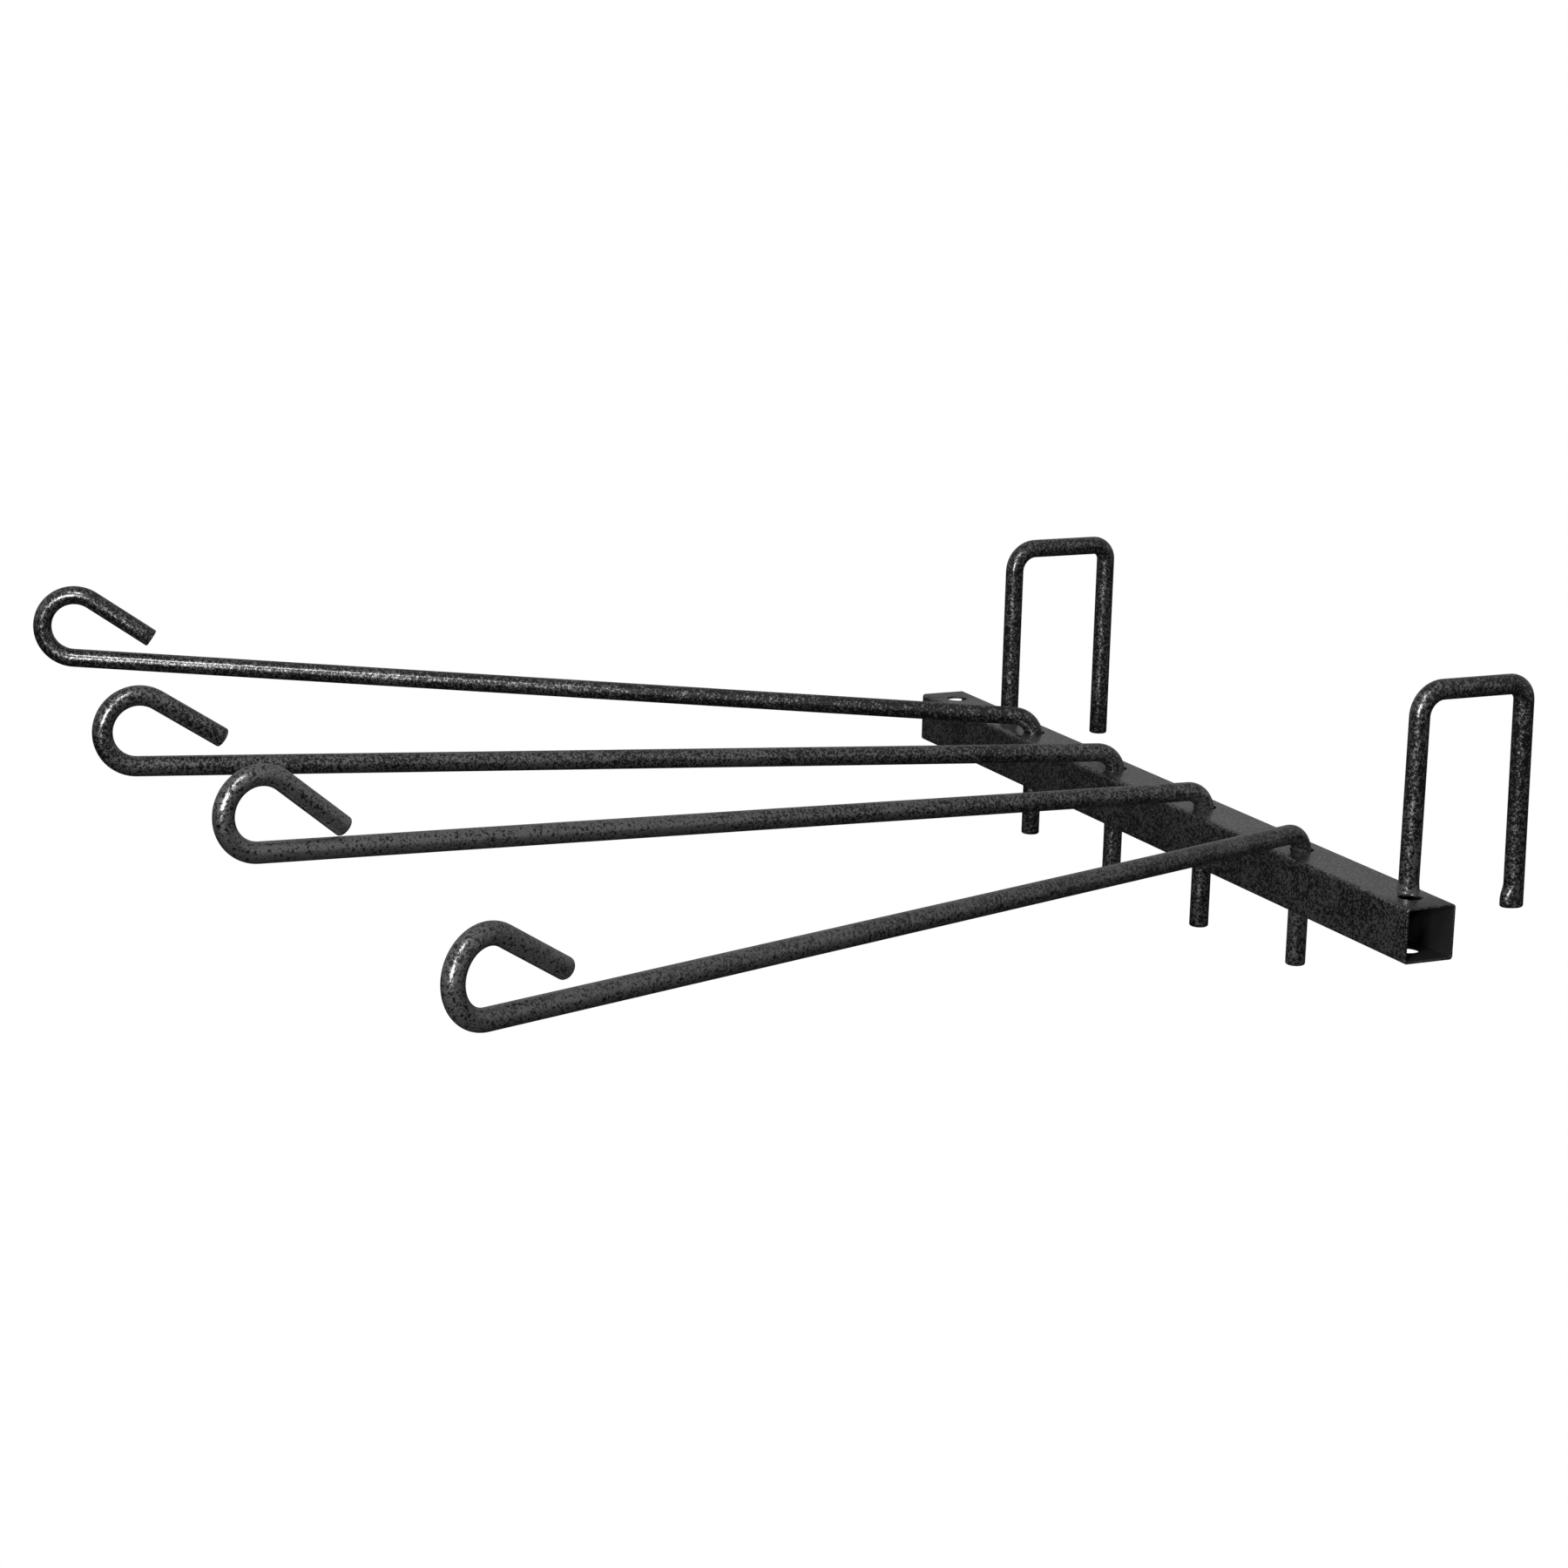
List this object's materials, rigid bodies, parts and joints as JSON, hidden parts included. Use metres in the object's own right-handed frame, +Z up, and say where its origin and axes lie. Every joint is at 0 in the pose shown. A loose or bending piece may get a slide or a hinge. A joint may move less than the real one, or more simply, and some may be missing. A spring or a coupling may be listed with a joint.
{
  "type": "over-wall hook rack",
  "caption": "Over-wall rack: a square tube crossbar on two over-wall hooks, with round-rod arms that swing in drilled holes and end in upturned curls.",
  "frame": {"origin": "centre of the crossbar's back face, which rests against the wall", "axes": "+X along the crossbar to the right as seen from the front, +Y into the wall, +Z up; the arms point out along -Y"},
  "size_m": [0.6403, 0.5983, 0.1589],
  "materials": {
    "hammertone_coat": "black and silver-grey hammertone powder coat, semi-gloss, with mottling about 1 mm across"
  },
  "bodies": {
    "crossbar": {"crossbar_tube": "hammertone_coat", "over_wall_hook_left": "hammertone_coat", "over_wall_hook_right": "hammertone_coat"},
    "arm_1": {"swing_arm_1": "hammertone_coat"},
    "arm_2": {"swing_arm_2": "hammertone_coat"},
    "arm_3": {"swing_arm_3": "hammertone_coat"},
    "arm_4": {"swing_arm_4": "hammertone_coat"}
  },
  "joints": [
    {"name": "arm_1_swing", "type": "hinge", "parent": "crossbar", "child": "arm_1", "pos_m": [-0.13335, -0.013, 0], "axis": [0, 0, 1], "range_deg": [-60.4, 7.6]},
    {"name": "arm_2_swing", "type": "hinge", "parent": "crossbar", "child": "arm_2", "pos_m": [-0.04445, -0.013, 0], "axis": [0, 0, 1], "range_deg": [-17.8, 8.2]},
    {"name": "arm_3_swing", "type": "hinge", "parent": "crossbar", "child": "arm_3", "pos_m": [0.04445, -0.013, 0], "axis": [0, 0, 1], "range_deg": [-10.1, 11.9]},
    {"name": "arm_4_swing", "type": "hinge", "parent": "crossbar", "child": "arm_4", "pos_m": [0.13335, -0.013, 0], "axis": [0, 0, 1], "range_deg": [-8.9, 64.1]}
  ]
}
